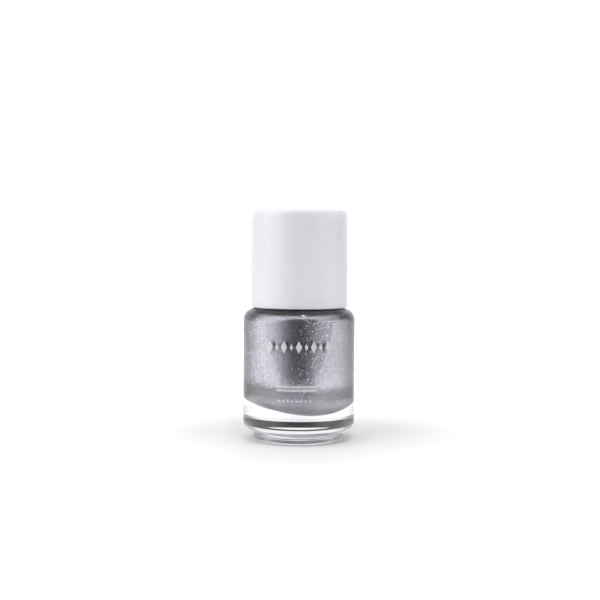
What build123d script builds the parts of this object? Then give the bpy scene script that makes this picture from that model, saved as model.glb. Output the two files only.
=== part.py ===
from build123d import *

import math
import os

# A 15 ml nail polish bottle with its screw cap and brush.
# Millimetres, +Z up. The origin is the centre of the ring that the bottle stands on, and
# the front of the bottle faces -Y. Every piece is made where it sits with the cap closed.

# ---------------------------------------------------------------- driving dimensions

# Glass bottle, outside
BODY_RADIUS = 15.5
BODY_EDGE_ROUND = 0.4
FOOT_RADIUS = 12.9
FOOT_HEIGHT = 1.9
FOOT_ROUND = 1.0
BEVEL_TOP_Z = 3.9
BEVEL_ROUND = 2.0
SHOULDER_CORNER_Z = 35.6
SHOULDER_SLOPE = 12.0
SHOULDER_ROUND = 3.2
NECK_FILLET = 1.2
LIP_Z = 50.0
LIP_ROUND = 0.5

# Hollow under the base, and the ring that it leaves to stand on
PUNT_DEPTH = 0.9
PUNT_RADIUS = 9.0
PUNT_ROUND = 3.0
RING_INNER_RADIUS = 10.6
RING_ROUND = 0.6

# Glass bottle, inside: the floor is a bowl that leans towards +X
WALL = 1.5
BORE_RADIUS = 4.25
CAVITY_SHOULDER_ROUND = 1.5
FLOOR_Z = 7.45
FLOOR_TILT = 12.0
FLOOR_ROUND = 10.6
FILL_Z = 36.0

# Neck finish: a right-hand thread of 12 turns to the inch
PITCH = 25.4 / 12
NECK_RADIUS = 6.6
NECK_THREAD_RADIUS = 7.35
NECK_THREAD_ROOT = 1.2
NECK_THREAD_CREST = 0.5
NECK_THREAD_Z = 44.2
NECK_THREAD_TURNS = 1.75

# The cap's thread, which lies under the neck's
CAP_THREAD_RADIUS = 6.85
CAP_THREAD_ROOT = 0.95
CAP_THREAD_CREST = 0.45
CAP_THREAD_TURNS = 2.5
THREAD_PLAY = 0.09
THREAD_SINK = 0.2

# Outer cap
TOTAL_HEIGHT = 63.0
CAP_BOTTOM_Z = 36.5
CAP_BOTTOM_RADIUS = 13.4
CAP_TOP_RADIUS = 13.1
CAP_TOP_ROUND = 0.8
CAP_EDGE_ROUND = 0.25
CAP_WALL = 1.2
CAP_ROOF = 1.4
CAP_CORNER_FILLET = 0.6
TUBE_INNER_RADIUS = 5.5
TUBE_OUTER_RADIUS = 6.5
TUBE_FILLET = 0.4

# Inner cap
SKIRT_BOTTOM_Z = 38.4
SKIRT_OUTER_RADIUS = 9.2
SKIRT_INNER_RADIUS = 7.55
SKIRT_EDGE_ROUND = 0.3
INNER_TOP_ROUND = 0.5
INNER_ROOF = 1.4
FIN_COUNT = 8
FIN_THICKNESS = 1.0
FIN_ROOT_DEPTH = 0.3
RIBS_BETWEEN_FINS = 3
RIB_RADIUS = 0.35
RIB_START = 0.8
RIB_END = 1.6

# Seal and brush stem
WASHER_THICKNESS = 0.8
WASHER_RADIUS = 6.4
WASHER_HOLE_GAP = 0.1
FLANGE_THICKNESS = 1.2
FLANGE_RADIUS = 6.2
FLANGE_ROUND = 0.2
STEM_TOP_RADIUS = 1.75
STEM_TIP_RADIUS = 1.5
STEM_TIP_ROUND = 0.2
STEM_TIP_Z = 22.0

# Snap head at the top of the stem, through the inner cap's roof
HEAD_RADIUS = 2.5
HEAD_GAP = 0.05
BARB_RADIUS = 2.85
BARB_FOOT = 0.1
BARB_EDGE = 0.4
HEAD_HEIGHT = 1.2
HEAD_TAPER = 0.4

# Bristles and the plate that holds them
TUFT_HOLE_RADIUS = 1.1
TUFT_HOLE_DEPTH = 4.0
TUFT_RADIUS = 1.95
TUFT_END_Z = 10.0
TUFT_WIDEST_ABOVE_END = 4.0
TUFT_DOME_RADIUS = 1.6
TUFT_DOME_HEIGHT = 1.0
TUFT_DOME_ROUND = 1.2
ANCHOR_WIDTH = 2.6
ANCHOR_THICKNESS = 0.3
ANCHOR_HEIGHT = 1.4
ANCHOR_ABOVE_HOLE_MIDDLE = 0.5

# Mixing balls, side by side in the lowest part of the bowl
BALL_RADIUS = 2.0
BALL_Y = 2.03
BALL_SEAT_ANGLE = 22.0

# Gaps between pieces
FIT_GAP = 0.03
BALL_GAP = 0.01
LIQUID_GAP = 0.02

# ---------------------------------------------------------------- derived dimensions

TILT = math.radians(FLOOR_TILT)
SLOPE = math.tan(math.radians(SHOULDER_SLOPE))
CAVITY_RADIUS = BODY_RADIUS - WALL
WASHER_TOP_Z = LIP_Z + WASHER_THICKNESS
INNER_ROOF_Z = WASHER_TOP_Z + FLANGE_THICKNESS
INNER_TOP_Z = INNER_ROOF_Z + INNER_ROOF
CAP_CEILING_Z = TOTAL_HEIGHT - CAP_ROOF
HEAD_HOLE_RADIUS = HEAD_RADIUS + HEAD_GAP
CAP_TAPER = (CAP_BOTTOM_RADIUS - CAP_TOP_RADIUS) / (TOTAL_HEIGHT - CAP_BOTTOM_Z)

# The cap's ridge lies below the neck's by their two half widths, where its crest meets the
# neck's flank, and by the play between them.
NECK_FLANK = (NECK_THREAD_ROOT - NECK_THREAD_CREST) / (NECK_THREAD_RADIUS - NECK_RADIUS)
NECK_WIDTH_AT_CREST = NECK_THREAD_ROOT - (CAP_THREAD_RADIUS - NECK_RADIUS) * NECK_FLANK
THREAD_DROP = (NECK_WIDTH_AT_CREST + CAP_THREAD_CREST) / 2 + THREAD_PLAY


def shoulder_z(radius):
    """Height of the cone of the bottle's shoulder, before its roundings."""
    return SHOULDER_CORNER_Z + (BODY_RADIUS - radius) * SLOPE


def cavity_shoulder_z(radius):
    """Height of the inside of the shoulder, one wall thickness under the outside."""
    return shoulder_z(radius) - WALL / math.cos(math.radians(SHOULDER_SLOPE))


def cap_bore_radius(z):
    """Radius of the outer cap's slightly tapered inside wall."""
    return CAP_BOTTOM_RADIUS - CAP_WALL - CAP_TAPER * (z - CAP_BOTTOM_Z)


def lathe(corners):
    """Turns a closed outline about Z. Each corner is radius, height and its rounding."""
    points = [(r, z) for r, z, _ in corners]
    roundings = [rounding for _, _, rounding in corners[1:-1]]
    outline = FilletPolyline(*points, radius=roundings)
    closing = Line(outline @ 1, outline @ 0)
    return revolve(Plane.XZ * make_face([outline, closing]), Axis.Z)


def thread(root, root_width, crest, crest_width, start_z, turns):
    """A helical ridge from root to crest, sunk a little past its root into what carries it."""
    sink = math.copysign(THREAD_SINK, root - crest)
    flank = (root_width - crest_width) / (root - crest)
    base = root + sink
    base_width = root_width + flank * sink
    corners = [
        (base, -base_width / 2),
        (crest, -crest_width / 2),
        (crest, crest_width / 2),
        (base, base_width / 2),
    ]
    section = Pos(0, 0, start_z) * (Plane.XZ * make_face(Polyline(*corners, close=True)))
    path = Helix(PITCH, turns * PITCH, NECK_RADIUS, center=(0, 0, start_z))
    return sweep(section, path, is_frenet=True)


# ---------------------------------------------------------------- bottle and contents


def make_cavity():
    """The space inside the bottle, down to the leaning bowl of its heavy base."""
    above_lip = LIP_Z + 1
    space = lathe(
        [
            (0, 0, 0),
            (CAVITY_RADIUS, 0, 0),
            (CAVITY_RADIUS, cavity_shoulder_z(CAVITY_RADIUS), CAVITY_SHOULDER_ROUND),
            (BORE_RADIUS, cavity_shoulder_z(BORE_RADIUS), CAVITY_SHOULDER_ROUND),
            (BORE_RADIUS, above_lip, 0),
            (0, above_lip, 0),
        ]
    )
    floor_plane = Plane((0, 0, FLOOR_Z), z_dir=(math.sin(TILT), 0, math.cos(TILT)))
    space = split(space, floor_plane, keep=Keep.TOP)
    floor_edge = space.faces().sort_by(Axis.Z)[0].edges()
    return fillet(floor_edge, FLOOR_ROUND)


def make_bottle(cavity):
    outside = lathe(
        [
            (0, PUNT_DEPTH, 0),
            (PUNT_RADIUS, PUNT_DEPTH, PUNT_ROUND),
            (RING_INNER_RADIUS, 0, RING_ROUND),
            (FOOT_RADIUS, 0, FOOT_ROUND),
            (FOOT_RADIUS, FOOT_HEIGHT, BODY_EDGE_ROUND),
            (BODY_RADIUS, BEVEL_TOP_Z, BEVEL_ROUND),
            (BODY_RADIUS, SHOULDER_CORNER_Z, SHOULDER_ROUND),
            (NECK_RADIUS, shoulder_z(NECK_RADIUS), NECK_FILLET),
            (NECK_RADIUS, LIP_Z, LIP_ROUND),
            (0, LIP_Z, 0),
        ]
    )
    ridge = thread(
        NECK_RADIUS,
        NECK_THREAD_ROOT,
        NECK_THREAD_RADIUS,
        NECK_THREAD_CREST,
        NECK_THREAD_Z,
        NECK_THREAD_TURNS,
    )
    return outside + ridge - cavity


def tuft_below_stem(gap):
    """The tuft's outside: it leaves the stem narrow, widens, and ends in a dome."""
    return lathe(
        [
            (0, STEM_TIP_Z, 0),
            (TUFT_HOLE_RADIUS - FIT_GAP + gap, STEM_TIP_Z, 0),
            (TUFT_RADIUS + gap, TUFT_END_Z + TUFT_WIDEST_ABOVE_END, TUFT_WIDEST_ABOVE_END),
            (TUFT_DOME_RADIUS + gap, TUFT_END_Z + TUFT_DOME_HEIGHT, TUFT_DOME_ROUND),
            (0, TUFT_END_Z - gap, 0),
        ]
    )


def brush_space(gap):
    """The stem and the tuft below the neck, made larger by a gap all round."""
    stem = lathe(
        [
            (0, STEM_TIP_Z - gap, 0),
            (STEM_TIP_RADIUS + gap, STEM_TIP_Z - gap, 0),
            (STEM_TOP_RADIUS + gap, WASHER_TOP_Z, 0),
            (0, WASHER_TOP_Z, 0),
        ]
    )
    return stem + tuft_below_stem(gap)


def make_polish(cavity, balls):
    """The liquid: it fills the cavity and lies round the brush and the two balls."""
    depth = FILL_Z + 1
    width = 2 * BODY_RADIUS
    below_level = Pos(0, 0, FILL_Z - depth / 2) * Box(width, width, depth)
    liquid = (cavity & below_level) - brush_space(LIQUID_GAP)
    for ball in balls:
        liquid -= Pos(ball.center()) * Sphere(BALL_RADIUS + LIQUID_GAP)
    return liquid


def make_ball(side):
    """A steel ball at rest on the bowl's rounding. side is 1 or -1."""
    turn = math.radians(BALL_SEAT_ANGLE)
    reach = CAVITY_RADIUS - FLOOR_ROUND
    centre_x = reach * math.cos(turn)
    centre_y = reach * math.sin(turn)
    centre_z = FLOOR_Z + FLOOR_ROUND / math.cos(TILT) - centre_x * math.tan(TILT)
    inset = FLOOR_ROUND - BALL_RADIUS - BALL_GAP
    drop = math.sqrt(inset**2 - (BALL_Y - centre_y) ** 2)
    return Pos(centre_x, side * BALL_Y, centre_z - drop) * Sphere(BALL_RADIUS)


# ---------------------------------------------------------------- cap


def make_outer_cap():
    """The smooth overcap, with a tube inside its roof that stands on the inner cap."""
    return lathe(
        [
            (0, TOTAL_HEIGHT, 0),
            (CAP_TOP_RADIUS, TOTAL_HEIGHT, CAP_TOP_ROUND),
            (CAP_BOTTOM_RADIUS, CAP_BOTTOM_Z, CAP_EDGE_ROUND),
            (cap_bore_radius(CAP_BOTTOM_Z), CAP_BOTTOM_Z, CAP_EDGE_ROUND),
            (cap_bore_radius(CAP_CEILING_Z), CAP_CEILING_Z, CAP_CORNER_FILLET),
            (TUBE_OUTER_RADIUS, CAP_CEILING_Z, TUBE_FILLET),
            (TUBE_OUTER_RADIUS, INNER_TOP_Z, 0),
            (TUBE_INNER_RADIUS, INNER_TOP_Z, 0),
            (TUBE_INNER_RADIUS, CAP_CEILING_Z, TUBE_FILLET),
            (0, CAP_CEILING_Z, 0),
        ]
    )


def make_fin():
    """One upright fin, whose edge follows the outer cap's inside wall."""
    low_z = SKIRT_BOTTOM_Z + RIB_START
    root = SKIRT_OUTER_RADIUS - FIN_ROOT_DEPTH
    corners = [
        (root, low_z),
        (cap_bore_radius(low_z) - FIT_GAP, low_z),
        (cap_bore_radius(INNER_TOP_Z) - FIT_GAP, INNER_TOP_Z),
        (root, INNER_TOP_Z),
    ]
    face = Plane.XZ * make_face(Polyline(*corners, close=True))
    return extrude(face, FIN_THICKNESS / 2, both=True)


def make_rib():
    """One of the upright grip ribs between the fins."""
    height = INNER_TOP_Z - RIB_END - SKIRT_BOTTOM_Z - RIB_START
    middle_z = SKIRT_BOTTOM_Z + RIB_START + height / 2
    return Pos(SKIRT_OUTER_RADIUS, 0, middle_z) * Cylinder(RIB_RADIUS, height)


def make_inner_cap():
    """The screw cap proper: threaded skirt, ribs, fins, and a roof that holds the stem."""
    cap = lathe(
        [
            (HEAD_HOLE_RADIUS, INNER_ROOF_Z, 0),
            (SKIRT_INNER_RADIUS, INNER_ROOF_Z, 0),
            (SKIRT_INNER_RADIUS, SKIRT_BOTTOM_Z, SKIRT_EDGE_ROUND),
            (SKIRT_OUTER_RADIUS, SKIRT_BOTTOM_Z, SKIRT_EDGE_ROUND),
            (SKIRT_OUTER_RADIUS, INNER_TOP_Z, INNER_TOP_ROUND),
            (HEAD_HOLE_RADIUS, INNER_TOP_Z, 0),
        ]
    )
    cap += thread(
        SKIRT_INNER_RADIUS,
        CAP_THREAD_ROOT,
        CAP_THREAD_RADIUS,
        CAP_THREAD_CREST,
        NECK_THREAD_Z - PITCH - THREAD_DROP,
        CAP_THREAD_TURNS,
    )
    places = FIN_COUNT * (RIBS_BETWEEN_FINS + 1)
    for place in range(places):
        is_fin = place % (RIBS_BETWEEN_FINS + 1) == 0
        cap += Rot(0, 0, place * 360 / places) * (make_fin() if is_fin else make_rib())
    return cap


# ---------------------------------------------------------------- seal and brush


def make_washer():
    """The soft disc that the lip seals against, with a hole for the stem."""
    hole_radius = STEM_TOP_RADIUS + WASHER_HOLE_GAP
    middle_z = LIP_Z + WASHER_THICKNESS / 2
    disc = Cylinder(WASHER_RADIUS, WASHER_THICKNESS)
    return Pos(0, 0, middle_z) * (disc - Cylinder(hole_radius, WASHER_THICKNESS))


def make_anchor():
    """The metal plate that wedges the folded tuft in the stem."""
    middle_z = STEM_TIP_Z + TUFT_HOLE_DEPTH / 2 + ANCHOR_ABOVE_HOLE_MIDDLE
    return Pos(0, 0, middle_z) * Box(ANCHOR_WIDTH, ANCHOR_THICKNESS, ANCHOR_HEIGHT)


def make_stem(anchor):
    """Tapered rod, sealing flange, and a barbed head snapped through the inner cap's roof."""
    barb_z = INNER_TOP_Z + HEAD_GAP
    head_top_z = barb_z + HEAD_HEIGHT
    stem = lathe(
        [
            (0, STEM_TIP_Z, 0),
            (STEM_TIP_RADIUS, STEM_TIP_Z, STEM_TIP_ROUND),
            (STEM_TOP_RADIUS, WASHER_TOP_Z, 0),
            (FLANGE_RADIUS, WASHER_TOP_Z, FLANGE_ROUND),
            (FLANGE_RADIUS, INNER_ROOF_Z, 0),
            (HEAD_RADIUS, INNER_ROOF_Z, 0),
            (HEAD_RADIUS, barb_z, 0),
            (BARB_RADIUS, barb_z + BARB_FOOT, 0),
            (BARB_RADIUS, barb_z + BARB_EDGE, 0),
            (HEAD_RADIUS - HEAD_TAPER, head_top_z, STEM_TIP_ROUND),
            (0, head_top_z, 0),
        ]
    )
    hole = Pos(0, 0, STEM_TIP_Z + TUFT_HOLE_DEPTH / 2) * Cylinder(TUFT_HOLE_RADIUS, TUFT_HOLE_DEPTH)
    return stem - hole - anchor


def make_tuft(anchor):
    """The bristles as one soft solid: the part held in the stem and the part below it."""
    held_height = TUFT_HOLE_DEPTH - FIT_GAP
    held = Cylinder(TUFT_HOLE_RADIUS - FIT_GAP, held_height)
    return Pos(0, 0, STEM_TIP_Z + held_height / 2) * held + tuft_below_stem(0) - anchor


# ---------------------------------------------------------------- output


def main():
    cavity = make_cavity()
    balls = [make_ball(1), make_ball(-1)]
    anchor = make_anchor()
    nodes = {
        "glass_bottle": make_bottle(cavity),
        "polish_fill": make_polish(cavity, balls),
        "mixing_ball_1": balls[0],
        "mixing_ball_2": balls[1],
        "outer_cap": make_outer_cap(),
        "inner_cap": make_inner_cap(),
        "sealing_washer": make_washer(),
        "brush_stem": make_stem(anchor),
        "brush_bristles": make_tuft(anchor),
        "bristle_anchor": anchor,
    }
    os.makedirs("parts", exist_ok=True)
    for name, piece in nodes.items():
        export_step(piece, f"parts/{name}.step")
    print(f"polish volume {nodes['polish_fill'].volume / 1000:.2f} ml")


main()
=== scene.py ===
import math
import random

import bpy
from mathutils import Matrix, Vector


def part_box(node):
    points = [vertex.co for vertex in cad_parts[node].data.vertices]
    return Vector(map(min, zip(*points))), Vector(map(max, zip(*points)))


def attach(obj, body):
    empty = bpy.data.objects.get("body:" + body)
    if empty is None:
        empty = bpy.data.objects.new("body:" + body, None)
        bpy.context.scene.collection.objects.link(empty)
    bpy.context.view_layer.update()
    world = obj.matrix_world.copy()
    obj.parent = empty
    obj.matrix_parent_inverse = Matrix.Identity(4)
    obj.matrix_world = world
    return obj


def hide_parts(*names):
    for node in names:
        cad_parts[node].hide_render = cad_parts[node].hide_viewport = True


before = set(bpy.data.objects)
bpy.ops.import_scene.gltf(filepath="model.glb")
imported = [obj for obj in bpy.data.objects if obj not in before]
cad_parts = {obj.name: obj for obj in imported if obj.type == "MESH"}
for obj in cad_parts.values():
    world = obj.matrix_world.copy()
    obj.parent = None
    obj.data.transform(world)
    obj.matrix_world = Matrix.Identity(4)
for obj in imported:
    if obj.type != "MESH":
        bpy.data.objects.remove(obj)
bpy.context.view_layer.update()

# A 15 ml nail polish bottle. The front faces -Y, and the origin is the centre of the foot, on
# the floor. Sizes of the bottle, the cap and the brush are numbers of millimetres. Those of the
# camera, the lights and the materials are metres, written with MM where they are small.

MM = 0.001

# ---------------------------------------------------------------- sizes

_, glass_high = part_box("glass_bottle")
cap_low, cap_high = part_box("outer_cap")
stem_low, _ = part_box("brush_stem")
tuft_low, tuft_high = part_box("brush_bristles")
_, polish_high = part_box("polish_fill")

# Glass bottle, outside
BODY_RADIUS = glass_high.x / MM
BODY_EDGE_ROUND = 0.4
FOOT_RADIUS = 12.9
FOOT_HEIGHT = 1.9
FOOT_ROUND = 1.0
BEVEL_TOP_Z = 3.9
BEVEL_ROUND = 2.0
SHOULDER_CORNER_Z = 35.6
SHOULDER_SLOPE = math.tan(math.radians(12.0))
SHOULDER_ROUND = 3.2
NECK_FILLET = 1.2
LIP_Z = glass_high.z / MM
LIP_ROUND = 0.5
BORE_EDGE_ROUND = 0.3

# Hollow under the base, and the ring that it leaves to stand on
PUNT_DEPTH = 0.9
PUNT_RADIUS = 9.0
PUNT_ROUND = 3.0
RING_INNER_RADIUS = 10.6
RING_ROUND = 0.6

# Neck and its right-hand thread. The neck is plain below the thread's rows and above them.
NECK_RADIUS = 6.6
NECK_PLAIN_BELOW = 2.0
NECK_PLAIN_ABOVE = 0.8
NECK_ROW_STEP = 0.1
PITCH = 25.4 / 12
THREAD_RADIUS = 7.35
THREAD_Z = 44.2
THREAD_TURNS = 1.75
THREAD_HALF_WIDTH = 0.6
THREAD_FLANK = 0.35
THREAD_RUN_OUT_TURNS = 0.125

# Glass bottle, inside: the floor is a bowl that leans towards +X
CAVITY_RADIUS = polish_high.x / MM
WALL = BODY_RADIUS - CAVITY_RADIUS
BORE_RADIUS = 4.25
CAVITY_SHOULDER_ROUND = 1.5
FLOOR_Z = 7.45
FLOOR_TILT = math.radians(12.0)
FLOOR_ROUND = 10.6
FLOOR_ROUND_ROWS = 16
FLOOR_ROW_SHARES = (0.98, 0.9, 0.6, 0.3, 0.1)
WALL_START_Z = 22.0

# Polish: it reaches a little way into the glass, so that no air shows between them
FILL_Z = polish_high.z / MM
LEVEL_ROUND = 0.1
WETTING = 0.03

# Outer cap, with the tube under its roof that stands on the inner cap
CAP_TOP_Z = cap_high.z / MM
CAP_BOTTOM_Z = cap_low.z / MM
CAP_BOTTOM_RADIUS = 13.4
CAP_TOP_RADIUS = 13.1
CAP_TOP_ROUND = 0.8
CAP_EDGE_ROUND = 0.25
CAP_WALL = 1.2
CAP_ROOF = 1.4
CAP_CORNER_FILLET = 0.6
INNER_TOP_Z = 53.4
TUBE_INNER_RADIUS = 5.5
TUBE_OUTER_RADIUS = 6.5
TUBE_FILLET = 0.4
TUBE_EDGE_ROUND = 0.1

# Brush: the stem narrows from the washer's top to its tip
WASHER_THICKNESS = 0.8
WASHER_TOP_Z = LIP_Z + WASHER_THICKNESS
STEM_TIP_Z = stem_low.z / MM
STEM_TIP_RADIUS = 1.5
STEM_TOP_RADIUS = 1.75
TUFT_HOLE_RADIUS = 1.1
TUFT_END_Z = tuft_low.z / MM
TUFT_WIDEST_ABOVE_END = 4.0
TUFT_WIDEST_Z = TUFT_END_Z + TUFT_WIDEST_ABOVE_END
TUFT_RADIUS = tuft_high.x / MM

ROUND_SEGMENTS = 192

# ---------------------------------------------------------------- mesh helpers


def mesh_object(name, vertices, faces):
    """A smooth-shaded mesh object from vertices in millimetres."""
    mesh = bpy.data.meshes.new(name)
    mesh.from_pydata([(x * MM, y * MM, z * MM) for x, y, z in vertices], [], faces)
    mesh.validate()
    mesh.update()
    mesh.shade_smooth()
    piece = bpy.data.objects.new(name, mesh)
    bpy.context.scene.collection.objects.link(piece)
    return piece


def rounded(corners, step=6.0, support=0.12):
    """Points along an outline whose corners are radius, height and rounding, in millimetres.
    Next to each rounding the straight run gets a support point, so that it stays flat."""
    points = [Vector(corners[0][:2])]
    for before, corner, after in zip(corners, corners[1:], corners[2:]):
        here = Vector(corner[:2])
        into = (Vector(before[:2]) - here).normalized()
        out = (Vector(after[:2]) - here).normalized()
        turn = math.pi - into.angle(out)
        size = corner[2]
        if size <= 0 or turn < 1e-4:
            points.append(here)
            continue
        reach = size * math.tan(turn / 2)
        start = here + into * reach
        end = here + out * reach
        centre = here + (into + out).normalized() * size / math.cos(turn / 2)
        if (start - points[-1]).length > 2 * support:
            points.append(start + into * support)
        count = max(2, math.ceil(math.degrees(turn) / step))
        first = start - centre
        last = end - centre
        for index in range(count + 1):
            t = index / count
            spoke = first * math.sin((1 - t) * turn) + last * math.sin(t * turn)
            points.append(centre + spoke / math.sin(turn))
        points.append(end + out * min(support, reach))
    points.append(Vector(corners[-1][:2]))
    return [(p.x, p.y) for p in points]


def lathe(name, rows, segments=ROUND_SEGMENTS):
    """Turns rows about Z. A row is (radius, height) or a function of the angle that gives them.
    A row of radius 0 is one point. Rows that start and end off the axis close into a ring."""
    vertices = []
    rings = []
    for row in rows:
        if not callable(row) and row[0] < 1e-6:
            rings.append([len(vertices)])
            vertices.append((0.0, 0.0, row[1]))
            continue
        ring = []
        for index in range(segments):
            angle = 2 * math.pi * index / segments
            radius, z = row(angle) if callable(row) else row
            ring.append(len(vertices))
            vertices.append((radius * math.cos(angle), radius * math.sin(angle), z))
        rings.append(ring)
    faces = []
    pairs = list(zip(rings, rings[1:]))
    if len(rings[0]) > 1 and len(rings[-1]) > 1:
        pairs.append((rings[-1], rings[0]))
    for low, high in pairs:
        for index in range(segments):
            after = (index + 1) % segments
            if len(low) == 1 and len(high) == 1:
                break
            if len(low) == 1:
                faces.append((low[0], high[after], high[index]))
            elif len(high) == 1:
                faces.append((low[index], low[after], high[0]))
            else:
                faces.append((low[index], low[after], high[after], high[index]))
    return mesh_object(name, vertices, faces)


def finish_piece(piece, material, body, slot, *nodes):
    """Gives a piece its material and its body, and hides the CAD nodes that it stands for. slot is
    not used.
    """
    piece.data.materials.clear()
    piece.data.materials.append(material)
    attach(piece, body)
    if nodes:
        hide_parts(*nodes)


# ---------------------------------------------------------------- material helpers


class Shader:
    """A material's node tree, with short calls to add and join nodes."""

    def __init__(self, name):
        self.material = bpy.data.materials.new(name)
        self.material.use_nodes = True
        self.nodes = self.material.node_tree.nodes
        self.links = self.material.node_tree.links
        self.surface = self.nodes["Principled BSDF"]
        self.place = self.nodes.new("ShaderNodeTexCoord").outputs["Object"]

    def set(self, **values):
        """Sets sockets of the Principled shader. An underscore stands for a space."""
        for key, value in values.items():
            self.surface.inputs[key.replace("_", " ")].default_value = value

    def add(self, kind, inputs=(), **settings):
        """Adds a node, sets its properties, and joins or sets its inputs, by name or number."""
        node = self.nodes.new("ShaderNode" + kind)
        for key, value in settings.items():
            setattr(node, key, value)
        for key, value in dict(inputs).items():
            if isinstance(value, bpy.types.NodeSocket):
                self.links.new(value, node.inputs[key])
            else:
                node.inputs[key].default_value = value
        return node

    def join(self, output, socket):
        """Joins an output to a socket of the Principled shader."""
        self.links.new(output, self.surface.inputs[socket])

    def noise(self, scale, detail=2.0):
        """Soft noise about 0.5. scale is how many of its waves fit in a metre."""
        inputs = {"Vector": self.place, "Scale": scale, "Detail": detail}
        return self.add("TexNoise", inputs).outputs["Fac"]

    def calculate(self, operation, first, second, **settings):
        """One sum, product or other operation of two values."""
        return self.add("Math", {0: first, 1: second}, operation=operation, **settings).outputs[0]

    def remap(self, value, low, high, to_low, to_high):
        """Takes the range low to high, with its ends held, to the range to_low to to_high."""
        inputs = {
            "Value": value,
            "From Min": low,
            "From Max": high,
            "To Min": to_low,
            "To Max": to_high,
        }
        return self.add("MapRange", inputs).outputs["Result"]

    def bump(self, height, strength, distance):
        """A normal that leans as if the surface were raised by height times distance."""
        inputs = {"Height": height, "Strength": strength, "Distance": distance}
        return self.add("Bump", inputs).outputs["Normal"]

    def blend_color(self, fac, first, second):
        """Goes from the first colour to the second as fac goes from 0 to 1."""
        node = self.add("Mix", {"Factor": fac}, data_type="RGBA")
        for index, value in ((6, first), (7, second)):
            if isinstance(value, bpy.types.NodeSocket):
                self.links.new(value, node.inputs[index])
            else:
                node.inputs[index].default_value = (*value, 1.0)
        return node.outputs[2]


def glass_material():
    """Clear pressed glass: almost smooth, with the faint waves that a mould leaves."""
    shader = Shader("clear_glass")
    shader.set(
        Base_Color=(0.948, 0.944, 0.966, 1.0),
        Roughness=0.0,
        IOR=1.52,
        Transmission_Weight=1.0,
    )
    waves = shader.noise(140.0, detail=1.0)
    shader.join(shader.bump(waves, strength=0.02, distance=0.4 * MM), "Normal")
    return shader.material


def flakes(shader, per_metre, tilt):
    """Mirror flakes: each cell of the pattern leans its own way, by up to about half of tilt.
    Gives the normal and a random value from 0 to 1 for each cell."""
    cell = {"Vector": shader.place, "Scale": per_metre, "Randomness": 1.0}
    random_color = shader.add("TexVoronoi", cell).outputs["Color"]
    middle = (0.5, 0.5, 0.5)
    lean = shader.add("VectorMath", {0: random_color, 1: middle}, operation="SUBTRACT").outputs[0]
    lean = shader.add("VectorMath", {0: lean, "Scale": tilt}, operation="SCALE").outputs[0]
    surface = shader.add("NewGeometry").outputs["Normal"]
    turned = shader.add("VectorMath", {0: surface, 1: lean}, operation="ADD").outputs[0]
    normal = shader.add("VectorMath", {0: turned}, operation="NORMALIZE").outputs[0]
    value = shader.add("SeparateXYZ", {0: random_color}).outputs["X"]
    return normal, value


def polish_material():
    """Silver polish: dense fine flakes, with brighter and more tilted glitter in about one cell
    of twenty."""
    shader = Shader("glitter_polish")
    shader.set(Metallic=1.0)
    normal, value = flakes(shader, per_metre=5400.0, tilt=0.16)
    coarse_normal, coarse = flakes(shader, per_metre=5000.0, tilt=0.36)
    is_coarse = shader.remap(coarse, 0.93, 0.96, 0.0, 1.0)
    mixed = shader.add(
        "Mix", {"Factor": is_coarse, 4: normal, 5: coarse_normal}, data_type="VECTOR"
    )
    shader.join(mixed.outputs[1], "Normal")
    color = shader.blend_color(value, (0.27, 0.265, 0.30), (0.43, 0.43, 0.475))
    color = shader.blend_color(is_coarse, color, (0.56, 0.56, 0.60))
    shader.join(color, "Base Color")
    shader.join(shader.remap(is_coarse, 0.0, 1.0, 0.32, 0.22), "Roughness")
    return shader.material


def cap_material():
    """White polypropylene, satin gloss, with the fine orange peel of a moulded skin."""
    shader = Shader("cap_plastic")
    shader.set(
        IOR=1.49,
        Subsurface_Weight=0.5,
        Subsurface_Radius=(1.0, 1.0, 1.0),
        Subsurface_Scale=4 * MM,
    )
    clouds = shader.noise(90.0, detail=3.0)
    color = shader.blend_color(clouds, (0.80, 0.79, 0.875), (0.825, 0.815, 0.90))
    shader.join(color, "Base Color")
    shader.join(shader.remap(shader.noise(700.0), 0.3, 0.7, 0.27, 0.36), "Roughness")
    orange_peel = shader.noise(1600.0)
    shader.join(shader.bump(orange_peel, strength=0.02, distance=0.2 * MM), "Normal")
    return shader.material


def plastic_material(name, color, roughness, grain):
    """A plain plastic with a soft mottle and a fine grain. grain is its waves to the metre."""
    shader = Shader(name)
    shader.set(
        Subsurface_Weight=0.15,
        Subsurface_Radius=(1.0, 0.95, 0.9),
        Subsurface_Scale=1 * MM,
    )
    mottle = shader.noise(300.0, detail=3.0)
    darker = tuple(0.9 * part for part in color)
    shader.join(shader.blend_color(mottle, darker, color), "Base Color")
    spread = 0.06
    wear = shader.noise(1500.0)
    rough = shader.remap(wear, 0.3, 0.7, roughness - spread, roughness + spread)
    shader.join(rough, "Roughness")
    skin = shader.noise(grain, detail=3.0)
    shader.join(shader.bump(skin, strength=0.15, distance=0.2 * MM), "Normal")
    return shader.material


def steel_material(name, roughness):
    """Polished stainless steel with faint polishing marks."""
    shader = Shader(name)
    shader.set(Metallic=1.0)
    marks = shader.noise(2500.0, detail=4.0)
    color = shader.blend_color(marks, (0.66, 0.66, 0.67), (0.78, 0.78, 0.80))
    shader.join(color, "Base Color")
    shader.join(shader.remap(marks, 0.3, 0.7, roughness, roughness + 0.12), "Roughness")
    shader.join(shader.bump(marks, strength=0.05, distance=0.1 * MM), "Normal")
    return shader.material


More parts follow.
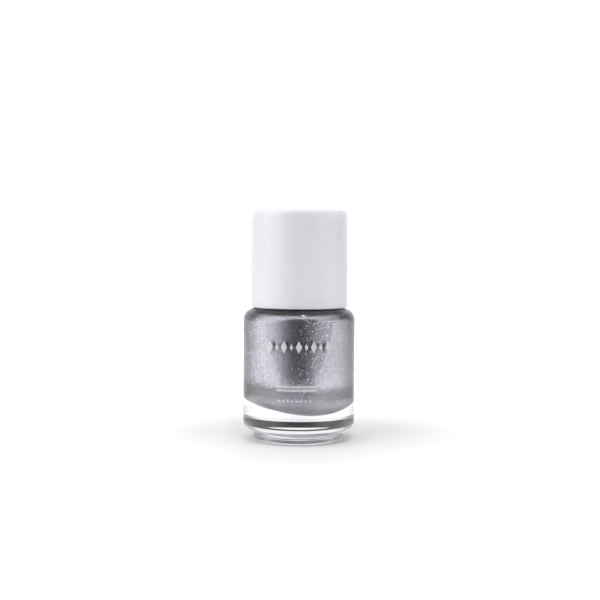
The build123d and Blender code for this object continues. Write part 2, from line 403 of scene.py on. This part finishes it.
def ink_material():
    """Pale screen-print ink: matt, a little see-through, with the screen's faint texture."""
    shader = Shader("print_ink")
    shader.set(Specular_IOR_Level=0.35, Transmission_Weight=0.4)
    patches = shader.noise(900.0, detail=3.0)
    color = shader.blend_color(patches, (0.86, 0.86, 0.89), (0.95, 0.95, 0.97))
    shader.join(color, "Base Color")
    shader.join(shader.remap(patches, 0.3, 0.7, 0.45, 0.6), "Roughness")
    screen = shader.noise(6000.0)
    shader.join(shader.bump(screen, strength=0.1, distance=0.05 * MM), "Normal")
    return shader.material


# ---------------------------------------------------------------- camera, floor and light

CAMERA_DISTANCE = 275 * MM
CAMERA_HEIGHT = 52.2 * MM
CAMERA_PITCH = 2.88
CAMERA_ROLL = -0.29
CAMERA_SHIFT_X = 0.15 * MM
SENSOR_WIDTH = 36.0
FOCAL_LENGTH = 1.65 * SENSOR_WIDTH
NEAREST_SEEN = 10 * MM

LIGHT_AIM_Z = 30 * MM

GROUND_REACH = 2.0
GROUND_FRONT_Y = -140 * MM


def make_camera():
    """The camera, close in front of the bottle and looking a little down."""
    data = bpy.data.cameras.new("camera")
    data.sensor_width = SENSOR_WIDTH
    data.lens = FOCAL_LENGTH
    data.clip_start = NEAREST_SEEN
    camera = bpy.data.objects.new("camera", data)
    bpy.context.scene.collection.objects.link(camera)
    camera.location = (CAMERA_SHIFT_X, -CAMERA_DISTANCE, CAMERA_HEIGHT)
    camera.rotation_euler = (
        math.radians(90 - CAMERA_PITCH),
        math.radians(CAMERA_ROLL),
        0.0,
    )
    bpy.context.scene.camera = camera


def make_softbox(name, azimuth, elevation, distance, size, radiance):
    """A rectangular softbox that faces the bottle. In degrees, azimuth is measured from the front,
    to the right, and elevation from level, upwards. size is its width and height."""
    width, height = size
    data = bpy.data.lights.new(name, "AREA")
    data.shape = "RECTANGLE"
    data.size = width
    data.size_y = height
    data.energy = radiance * math.pi * width * height
    light = bpy.data.objects.new(name, data)
    bpy.context.scene.collection.objects.link(light)
    side = math.radians(azimuth)
    up = math.radians(elevation)
    away = Vector((math.sin(side) * math.cos(up), -math.cos(side) * math.cos(up), math.sin(up)))
    light.location = away * distance + Vector((0, 0, LIGHT_AIM_Z))
    light.rotation_euler = (-away).to_track_quat("-Z", "Y").to_euler()
    light.visible_camera = False


def floor_material():
    """White. To the camera it glows more with distance from the bottle, so that it stays even.
    Rays that the glass or the cap mirrors or bends see a lit stage instead: unlit in front of the
    bottle, from a little way out, bright beside it, and dimmer close to it and behind it."""
    shader = Shader("floor_white")
    shader.set(Specular_IOR_Level=0.2, Roughness=0.6, Emission_Color=(1.0, 1.0, 1.0, 1.0))
    ray = shader.add("LightPath").outputs
    seen = ray["Is Camera Ray"]
    scattered = ray["Is Diffuse Ray"]
    away = shader.add("VectorMath", {0: shader.place}, operation="LENGTH").outputs["Value"]
    back = shader.add("SeparateXYZ", {0: shader.place}).outputs["Y"]
    bearing = shader.calculate("DIVIDE", back, away)

    in_front = shader.remap(bearing, -0.75, -0.98, 0.0, 1.0)
    past_foot = shader.remap(away, 32 * MM, 55 * MM, 0.0, 1.0)
    unlit = shader.calculate("MULTIPLY", in_front, past_foot)
    plain = shader.calculate("MAXIMUM", seen, scattered)
    dim = shader.calculate("SUBTRACT", unlit, plain, use_clamp=True)
    grain = shader.noise(60.0, detail=3.0)
    white = shader.blend_color(grain, (0.93, 0.93, 0.93), (0.95, 0.95, 0.95))
    shader.join(shader.blend_color(dim, white, (0.04, 0.04, 0.045)), "Base Color")

    lit = shader.calculate("SUBTRACT", 1.0, unlit)
    fading = (
        shader.remap(away, 14 * MM, 30 * MM, 0.50, 1.25),
        shader.remap(bearing, 0.1, 0.6, 1.0, 0.1),
        shader.calculate("SUBTRACT", 1.0, scattered),
    )
    for share in fading:
        lit = shader.calculate("MULTIPLY", lit, share)
    even = shader.remap(away, 30 * MM, 200 * MM, 0.0, 0.9)
    glow = shader.add("Mix", {"Factor": seen, 2: lit, 3: even}).outputs[0]
    shader.join(glow, "Emission Strength")
    return shader.material


def make_floor():
    """A wide floor. It starts just in front of what the camera sees and runs far to the back."""
    mesh = bpy.data.meshes.new("floor")
    corners = [
        (-GROUND_REACH, GROUND_FRONT_Y, 0),
        (GROUND_REACH, GROUND_FRONT_Y, 0),
        (GROUND_REACH, GROUND_REACH, 0),
        (-GROUND_REACH, GROUND_REACH, 0),
    ]
    mesh.from_pydata(corners, [], [(0, 1, 2, 3)])
    mesh.materials.append(floor_material())
    floor = bpy.data.objects.new("floor", mesh)
    bpy.context.scene.collection.objects.link(floor)


def make_world():
    """A white backdrop behind the bottle and a white ceiling over it, in a room that is otherwise
    dim. The camera itself sees white all round."""
    world = bpy.data.worlds.new("studio")
    bpy.context.scene.world = world
    world.use_nodes = True
    nodes = world.node_tree.nodes
    links = world.node_tree.links
    direction = nodes.new("ShaderNodeSeparateXYZ")
    links.new(nodes.new("ShaderNodeTexCoord").outputs["Generated"], direction.inputs[0])

    def wall(axis, start, end, dim, bright):
        """Brightness of the room, which grows where the direction turns towards an axis."""
        node = nodes.new("ShaderNodeMapRange")
        node.interpolation_type = "SMOOTHSTEP"
        links.new(direction.outputs[axis], node.inputs["Value"])
        limits = {"From Min": start, "From Max": end, "To Min": dim, "To Max": bright}
        for key, value in limits.items():
            node.inputs[key].default_value = value
        return node.outputs["Result"]

    def brighter(first, second):
        """The larger of two brightnesses."""
        node = nodes.new("ShaderNodeMath")
        node.operation = "MAXIMUM"
        links.new(first, node.inputs[0])
        links.new(second, node.inputs[1])
        return node.outputs[0]

    backdrop = wall("Y", start=0.50, end=0.90, dim=0.06, bright=0.95)
    ceiling = wall("Z", start=0.50, end=0.85, dim=0.0, bright=1.1)
    seen = nodes.new("ShaderNodeLightPath").outputs["Is Camera Ray"]
    background = nodes["Background"]
    background.inputs["Color"].default_value = (1.0, 1.0, 1.0, 1.0)
    links.new(brighter(brighter(backdrop, ceiling), seen), background.inputs["Strength"])


# ---------------------------------------------------------------- bottle


def ridge_height(z, angle):
    """How far the neck's thread stands out at a height and an angle."""
    depth = THREAD_RADIUS - NECK_RADIUS
    best = 0.0
    for turn in range(math.ceil(THREAD_TURNS)):
        along = angle / (2 * math.pi) + turn
        if along > THREAD_TURNS:
            continue
        off = abs(z - THREAD_Z - PITCH * along)
        height = depth * min(1.0, max(0.0, (THREAD_HALF_WIDTH - off) / THREAD_FLANK))
        run_out = min(1.0, min(along, THREAD_TURNS - along) / THREAD_RUN_OUT_TURNS)
        best = max(best, height * math.sin(run_out * math.pi / 2))
    return best


def neck_row(z):
    """A row of the neck, with the thread's ridge where it crosses that height."""
    return lambda angle: (NECK_RADIUS + ridge_height(z, angle), z)


def shoulder_z(radius):
    """Height of the cone of the bottle's shoulder, before its roundings."""
    return SHOULDER_CORNER_Z + (BODY_RADIUS - radius) * SHOULDER_SLOPE


def cavity_shoulder_z(radius):
    """Height of the inside of the shoulder, one wall thickness under the outside."""
    return shoulder_z(radius) - WALL * math.sqrt(1 + SHOULDER_SLOPE**2)


def floor_slope(angle):
    """How fast the cavity's floor rises outwards in the direction of an angle."""
    return -math.tan(FLOOR_TILT) * math.cos(angle)


def floor_round_row(share, grow):
    """A row of the rounding between the wall and the sloping floor. share goes from 0 at the wall
    to 1 at the floor, and grow moves the row out into the glass."""

    def at(angle):
        lean = math.atan(floor_slope(angle))
        size = FLOOR_ROUND + grow
        centre_radius = CAVITY_RADIUS - FLOOR_ROUND
        centre_z = FLOOR_Z + floor_slope(angle) * centre_radius + FLOOR_ROUND / math.cos(lean)
        turn = -share * (math.pi / 2 - lean)
        return centre_radius + size * math.cos(turn), centre_z + size * math.sin(turn)

    return at


def floor_row(share, grow):
    """A row of the floor itself, at a share of the way from its middle to its rounding."""

    def at(angle):
        lean = math.atan(floor_slope(angle))
        edge = CAVITY_RADIUS - FLOOR_ROUND + (FLOOR_ROUND + grow) * math.sin(lean)
        radius = share * edge
        return radius, FLOOR_Z + floor_slope(angle) * radius - grow / math.cos(lean)

    return at


def cavity_floor_rows(grow=0.0):
    """The bottom of the cavity from the wall to the middle of the floor."""
    steps = FLOOR_ROUND_ROWS
    rows = [floor_round_row(index / steps, grow) for index in range(steps + 1)]
    rows += [floor_row(share, grow) for share in FLOOR_ROW_SHARES]
    rows.append((0.0, FLOOR_Z - grow))
    return rows


def make_bottle():
    """The glass, from the hollow under its base, up the outside and down the inside."""
    neck_base_z = shoulder_z(NECK_RADIUS)
    outside = rounded(
        [
            (0, PUNT_DEPTH, 0),
            (PUNT_RADIUS, PUNT_DEPTH, PUNT_ROUND),
            (RING_INNER_RADIUS, 0, RING_ROUND),
            (FOOT_RADIUS, 0, FOOT_ROUND),
            (FOOT_RADIUS, FOOT_HEIGHT, BODY_EDGE_ROUND),
            (BODY_RADIUS, BEVEL_TOP_Z, BEVEL_ROUND),
            (BODY_RADIUS, SHOULDER_CORNER_Z, SHOULDER_ROUND),
            (NECK_RADIUS, neck_base_z, NECK_FILLET),
            (NECK_RADIUS, neck_base_z + NECK_PLAIN_BELOW, 0),
        ]
    )
    low_z = neck_base_z + NECK_PLAIN_BELOW + NECK_ROW_STEP
    high_z = LIP_Z - NECK_PLAIN_ABOVE - NECK_ROW_STEP
    steps = math.ceil((high_z - low_z) / NECK_ROW_STEP)
    neck = [neck_row(low_z + (high_z - low_z) * index / steps) for index in range(steps + 1)]
    inside = rounded(
        [
            (NECK_RADIUS, LIP_Z - NECK_PLAIN_ABOVE, 0),
            (NECK_RADIUS, LIP_Z, LIP_ROUND),
            (BORE_RADIUS, LIP_Z, BORE_EDGE_ROUND),
            (BORE_RADIUS, cavity_shoulder_z(BORE_RADIUS), CAVITY_SHOULDER_ROUND),
            (CAVITY_RADIUS, cavity_shoulder_z(CAVITY_RADIUS), CAVITY_SHOULDER_ROUND),
            (CAVITY_RADIUS, WALL_START_Z, 0),
        ]
    )
    return lathe("bottle_glass", outside + neck + inside + cavity_floor_rows())


def make_polish():
    """The liquid, with no hole for the brush: it closes over the place when the brush leaves."""
    level_radius = BODY_RADIUS - (FILL_Z - cavity_shoulder_z(BODY_RADIUS)) / SHOULDER_SLOPE
    radius = CAVITY_RADIUS + WETTING
    corner_z = cavity_shoulder_z(CAVITY_RADIUS) + WETTING
    outline = rounded(
        [
            (0, FILL_Z, 0),
            (level_radius, FILL_Z, LEVEL_ROUND),
            (radius, corner_z, CAVITY_SHOULDER_ROUND),
            (radius, WALL_START_Z, 0),
        ]
    )
    return lathe("polish", outline + cavity_floor_rows(WETTING))


# ---------------------------------------------------------------- cap


def cap_bore_radius(z):
    """Radius of the cap's slightly tapered inside wall."""
    taper = (CAP_BOTTOM_RADIUS - CAP_TOP_RADIUS) / (CAP_TOP_Z - CAP_BOTTOM_Z)
    return CAP_BOTTOM_RADIUS - CAP_WALL - taper * (z - CAP_BOTTOM_Z)


def make_outer_cap():
    """The cap, from the middle of its top, down the outside and up the inside."""
    ceiling_z = CAP_TOP_Z - CAP_ROOF
    outline = rounded(
        [
            (0, CAP_TOP_Z, 0),
            (CAP_TOP_RADIUS, CAP_TOP_Z, CAP_TOP_ROUND),
            (CAP_BOTTOM_RADIUS, CAP_BOTTOM_Z, CAP_EDGE_ROUND),
            (cap_bore_radius(CAP_BOTTOM_Z), CAP_BOTTOM_Z, CAP_EDGE_ROUND),
            (cap_bore_radius(ceiling_z), ceiling_z, CAP_CORNER_FILLET),
            (TUBE_OUTER_RADIUS, ceiling_z, TUBE_FILLET),
            (TUBE_OUTER_RADIUS, INNER_TOP_Z, TUBE_EDGE_ROUND),
            (TUBE_INNER_RADIUS, INNER_TOP_Z, TUBE_EDGE_ROUND),
            (TUBE_INNER_RADIUS, ceiling_z, TUBE_FILLET),
            (0, ceiling_z, 0),
        ]
    )
    return lathe("overcap", outline[::-1])


# ---------------------------------------------------------------- print on the glass

PRINT_RADIUS = BODY_RADIUS + 0.012
PRINT_DEPTH = 0.04
PRINT_MESH_STEP = 0.5

DIAMOND_COUNT = 9
DIAMOND_SPACING = 2.0
DIAMOND_Z = 26.6
LARGE_DIAMOND_HEIGHT = 3.4
SMALL_DIAMOND_HEIGHT = 1.9
DIAMOND_SLIMNESS = 0.5

RULE_HEIGHTS = (15.1, 16.1)
RULE_LEFT = -6.0
RULE_RIGHT = 5.0
RULE_THICKNESS = 0.4

DASH_COUNT = 8
DASH_Z = 12.3
DASH_START = -5.7
DASH_SPACING = 1.2
DASH_LENGTH = 0.8
DASH_THICKNESS = 0.5


def thick_skin(name, points, faces):
    """A thin closed layer of ink on the glass. A point is its way round the bottle from the
    front, to the right, and its height. Faces run anticlockwise seen from outside."""
    edges = [edge for face in faces for edge in zip(face, face[1:] + face[:1])]
    known = set(edges)
    count = len(points)
    walls = [
        (end, start, start + count, end + count)
        for start, end in edges
        if (end, start) not in known
    ]
    backs = [tuple(index + count for index in reversed(face)) for face in faces]
    vertices = []
    for radius in (PRINT_RADIUS, PRINT_RADIUS - PRINT_DEPTH):
        for along, z in points:
            angle = along / BODY_RADIUS
            vertices.append((radius * math.sin(angle), -radius * math.cos(angle), z))
    return mesh_object(name, vertices, faces + walls + backs)


def add_diamond(points, faces, middle, width, height, loops=4, steps=6):
    """Adds a filled diamond to a print, in loops that follow the curve of the glass."""
    corners = [(width / 2, 0.0), (0.0, height / 2), (-width / 2, 0.0), (0.0, -height / 2)]
    outline = []
    for index, corner in enumerate(corners):
        after = corners[(index + 1) % len(corners)]
        for step in range(steps):
            share = step / steps
            outline.append(tuple(a + (b - a) * share for a, b in zip(corner, after)))
    count = len(outline)
    first = len(points)
    for loop in range(loops):
        share = 1 - loop / loops
        points.extend((middle[0] + x * share, middle[1] + y * share) for x, y in outline)
    points.append(middle)
    for index in range(count):
        after = (index + 1) % count
        for loop in range(loops - 1):
            low = first + loop * count
            high = low + count
            faces.append((low + index, low + after, high + after, high + index))
        last = first + (loops - 1) * count
        faces.append((last + index, last + after, first + loops * count))


def add_bar(points, faces, left, right, z, thickness):
    """Adds a straight bar to a print, cut into short lengths so that it follows the glass."""
    count = math.ceil((right - left) / PRINT_MESH_STEP)
    first = len(points)
    for index in range(count + 1):
        along = left + (right - left) * index / count
        points.append((along, z - thickness / 2))
        points.append((along, z + thickness / 2))
    for index in range(count):
        low = first + 2 * index
        faces.append((low, low + 2, low + 3, low + 1))


def make_front_print():
    """A row of diamonds over a double rule and a dashed rule: a plain ornament, with no words."""
    points = []
    faces = []
    for index in range(DIAMOND_COUNT):
        along = DIAMOND_SPACING * (index - (DIAMOND_COUNT - 1) / 2)
        height = LARGE_DIAMOND_HEIGHT if index % 2 == 0 else SMALL_DIAMOND_HEIGHT
        add_diamond(points, faces, (along, DIAMOND_Z), DIAMOND_SLIMNESS * height, height)
    for z in RULE_HEIGHTS:
        add_bar(points, faces, RULE_LEFT, RULE_RIGHT, z, RULE_THICKNESS)
    for index in range(DASH_COUNT):
        left = DASH_START + DASH_SPACING * index
        add_bar(points, faces, left, left + DASH_LENGTH, DASH_Z, DASH_THICKNESS)
    return thick_skin("front_print", points, faces)


# ---------------------------------------------------------------- brush

BRISTLE_COUNT = 340
BRISTLE_RADIUS = 0.055
BRISTLE_TIP_THINNING = 0.55
BRISTLE_STEPS = 9
BRISTLE_SIDES = 6
BRISTLE_HELD_LENGTH = 3.0
BRISTLE_SWAY = 0.05
BRISTLE_TWIST = 0.10
BRISTLE_UNEVENNESS = 0.25
DOME_HEIGHT = 1.5
GOLDEN_ANGLE = math.pi * (3 - math.sqrt(5))

# How far the outermost bristles' middles lie inside the hole, and inside the tuft's outside
HOLE_MARGIN = 0.08
TUFT_MARGIN = 0.06

COAT_INSET = 0.07
COAT_TOP_Z = STEM_TIP_Z - 0.05
COAT_TIP_START_Z = TUFT_END_Z + 2.2
COAT_TIP_HEIGHT = 2.1
COAT_ROWS = 44
COAT_TIP_ROWS = 10
COAT_SEGMENTS = 96

FILM_THICKNESS = 0.06
FILM_EDGE_THICKNESS = 0.01
FILM_INSIDE_GAP = 0.004
FILM_EDGE_BELOW_LEVEL = 1.0
FILM_ROWS = 40
FILM_SEGMENTS = 72


def tuft_envelope(z):
    """Radius of the tuft at a height: it leaves the stem narrow and widens downwards."""
    t = min(1.0, max(0.0, (STEM_TIP_Z - z) / (STEM_TIP_Z - TUFT_WIDEST_Z)))
    held = TUFT_HOLE_RADIUS - HOLE_MARGIN
    return held + (TUFT_RADIUS - TUFT_MARGIN - held) * math.sin(t * math.pi / 2)


def tube(vertices, faces, path, radii, sides):
    """Adds a closed tube along a downward path to a mesh's vertices and faces."""
    first = len(vertices)
    for (x, y, z), radius in zip(path, radii):
        for side in range(sides):
            angle = 2 * math.pi * side / sides
            vertices.append((x + radius * math.cos(angle), y + radius * math.sin(angle), z))
    for ring in range(len(path) - 1):
        for side in range(sides):
            after = (side + 1) % sides
            low = first + ring * sides
            high = low + sides
            faces.append((low + side, high + side, high + after, low + after))
    faces.append(tuple(first + side for side in range(sides)))
    last = first + (len(path) - 1) * sides
    faces.append(tuple(last + side for side in reversed(range(sides))))


def make_bristles():
    """Separate filaments that fan out from the stem and end in a dome."""
    draw = random.Random(11)
    vertices = []
    faces = []
    top_z = STEM_TIP_Z + BRISTLE_HELD_LENGTH
    for index in range(BRISTLE_COUNT):
        share = math.sqrt((index + 0.5) / BRISTLE_COUNT)
        angle = index * GOLDEN_ANGLE
        lowest_z = TUFT_END_Z + TUFT_MARGIN + DOME_HEIGHT * share**3
        end_z = lowest_z + draw.uniform(0, BRISTLE_UNEVENNESS)
        sway = draw.uniform(-BRISTLE_SWAY, BRISTLE_SWAY)
        twist = draw.uniform(-BRISTLE_TWIST, BRISTLE_TWIST)
        path = []
        radii = []
        for step in range(BRISTLE_STEPS + 1):
            t = step / BRISTLE_STEPS
            z = top_z + (end_z - top_z) * t
            turn = angle + twist * t * t
            radius = share * tuft_envelope(z) * (1 + sway * math.sin(math.pi * t))
            radius = min(radius, tuft_envelope(z))
            path.append((radius * math.cos(turn), radius * math.sin(turn), z))
            radii.append(BRISTLE_RADIUS * (1 - BRISTLE_TIP_THINNING * t**4))
        tube(vertices, faces, path, radii, BRISTLE_SIDES)
    return mesh_object("bristles", vertices, faces)


def coat_ripple(z, angle):
    """The uneven thickness of the polish that hangs on the brush."""
    ridges = 0.05 * math.sin(9 * angle + 1.3 * z) * math.sin(0.9 * z + 2 * angle)
    return ridges + 0.035 * math.sin(23 * angle - 0.7 * z)


def coat_row(z, share=1.0):
    """A row of the coat. share makes it narrower, towards the tip."""
    return lambda angle: (share * (tuft_envelope(z) - COAT_INSET + coat_ripple(z, angle)), z)


def make_brush_coat():
    """Polish held between the bristles and over them, rippled by the filaments."""
    rows = [(0.0, COAT_TOP_Z)]
    for step in range(COAT_ROWS + 1):
        z = COAT_TOP_Z + (COAT_TIP_START_Z - COAT_TOP_Z) * step / COAT_ROWS
        rows.append(coat_row(z))
    for step in range(1, COAT_TIP_ROWS):
        turn = math.pi / 2 * step / COAT_TIP_ROWS
        z = COAT_TIP_START_Z - COAT_TIP_HEIGHT * math.sin(turn)
        rows.append(coat_row(z, math.cos(turn)))
    rows.append((0.0, COAT_TIP_START_Z - COAT_TIP_HEIGHT))
    return lathe("brush_coat", rows[::-1], COAT_SEGMENTS)


def stem_radius(z):
    """Radius of the stem, which tapers evenly from the washer's top to its tip."""
    share = (z - STEM_TIP_Z) / (WASHER_TOP_Z - STEM_TIP_Z)
    return STEM_TIP_RADIUS + (STEM_TOP_RADIUS - STEM_TIP_RADIUS) * share


def film_row(share, thickness):
    """A row of the film, at a share of the way from the stem's tip to the film's uneven top
    edge, a little below the polish's level. A thickness of 0 gives the film's inside, which
    stays just clear of the stem."""

    def at(angle):
        waves = 0.5 * math.sin(2 * angle + 0.6) + 0.25 * math.sin(5 * angle)
        edge_z = FILL_Z - FILM_EDGE_BELOW_LEVEL + waves
        z = STEM_TIP_Z + (edge_z - STEM_TIP_Z) * share
        beads = 0.02 * math.sin(3 * angle + 0.9 * z) * math.sin(0.5 * z)
        depth = max(FILM_INSIDE_GAP, thickness + beads * thickness / FILM_THICKNESS)
        return stem_radius(z) + depth, z

    return at


def make_stem_film():
    """The film of polish that clings to the part of the stem that stands in the liquid."""
    rows = [film_row(step / FILM_ROWS, FILM_THICKNESS) for step in range(FILM_ROWS)]
    rows.append(film_row(1.0, FILM_EDGE_THICKNESS))
    rows += [film_row(share, 0.0) for share in (1.0, 0.0)]
    return lathe("stem_film", rows, FILM_SEGMENTS)


# ---------------------------------------------------------------- build

make_camera()
make_floor()
make_world()
make_softbox("softbox_left", -66, 26, distance=0.42, size=(0.50, 0.44), radiance=1.85)
make_softbox("softbox_right", 64, 26, distance=0.42, size=(0.42, 0.40), radiance=1.16)
make_softbox("strip_above", 16, 66, distance=0.50, size=(0.03, 0.10), radiance=24.0)
bpy.context.scene.view_settings.view_transform = "Standard"

materials = {
    "glass": glass_material(),
    "polish": polish_material(),
    "cap": cap_material(),
    "inner": plastic_material("inner_cap_plastic", (0.84, 0.84, 0.82), 0.5, 1200.0),
    "washer": plastic_material("washer_foam", (0.86, 0.86, 0.83), 0.75, 4000.0),
    "stem": plastic_material("stem_plastic", (0.82, 0.82, 0.80), 0.42, 900.0),
    "bristle": plastic_material("bristle_nylon", (0.03, 0.03, 0.035), 0.35, 5000.0),
    "ball": steel_material("ball_steel", 0.12),
    "anchor": steel_material("anchor_steel", 0.3),
    "ink": ink_material(),
}

finish_piece(make_bottle(), materials["glass"], "bottle", "clear_glass", "glass_bottle")
finish_piece(make_polish(), materials["polish"], "bottle", "glitter_polish", "polish_fill")
finish_piece(make_front_print(), materials["ink"], "bottle", "print_ink")
finish_piece(make_outer_cap(), materials["cap"], "cap", "cap_plastic", "outer_cap")
finish_piece(make_bristles(), materials["bristle"], "cap", "bristle_nylon", "brush_bristles")
finish_piece(make_brush_coat(), materials["polish"], "cap", "glitter_polish")
finish_piece(make_stem_film(), materials["polish"], "cap", "glitter_polish")

CAD_LOOKS = {
    "inner_cap": "inner",
    "sealing_washer": "washer",
    "brush_stem": "stem",
    "mixing_ball_1": "ball",
    "mixing_ball_2": "ball",
    "bristle_anchor": "anchor",
}
for node, look in CAD_LOOKS.items():
    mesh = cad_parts[node].data
    mesh.materials.clear()
    mesh.materials.append(materials[look])
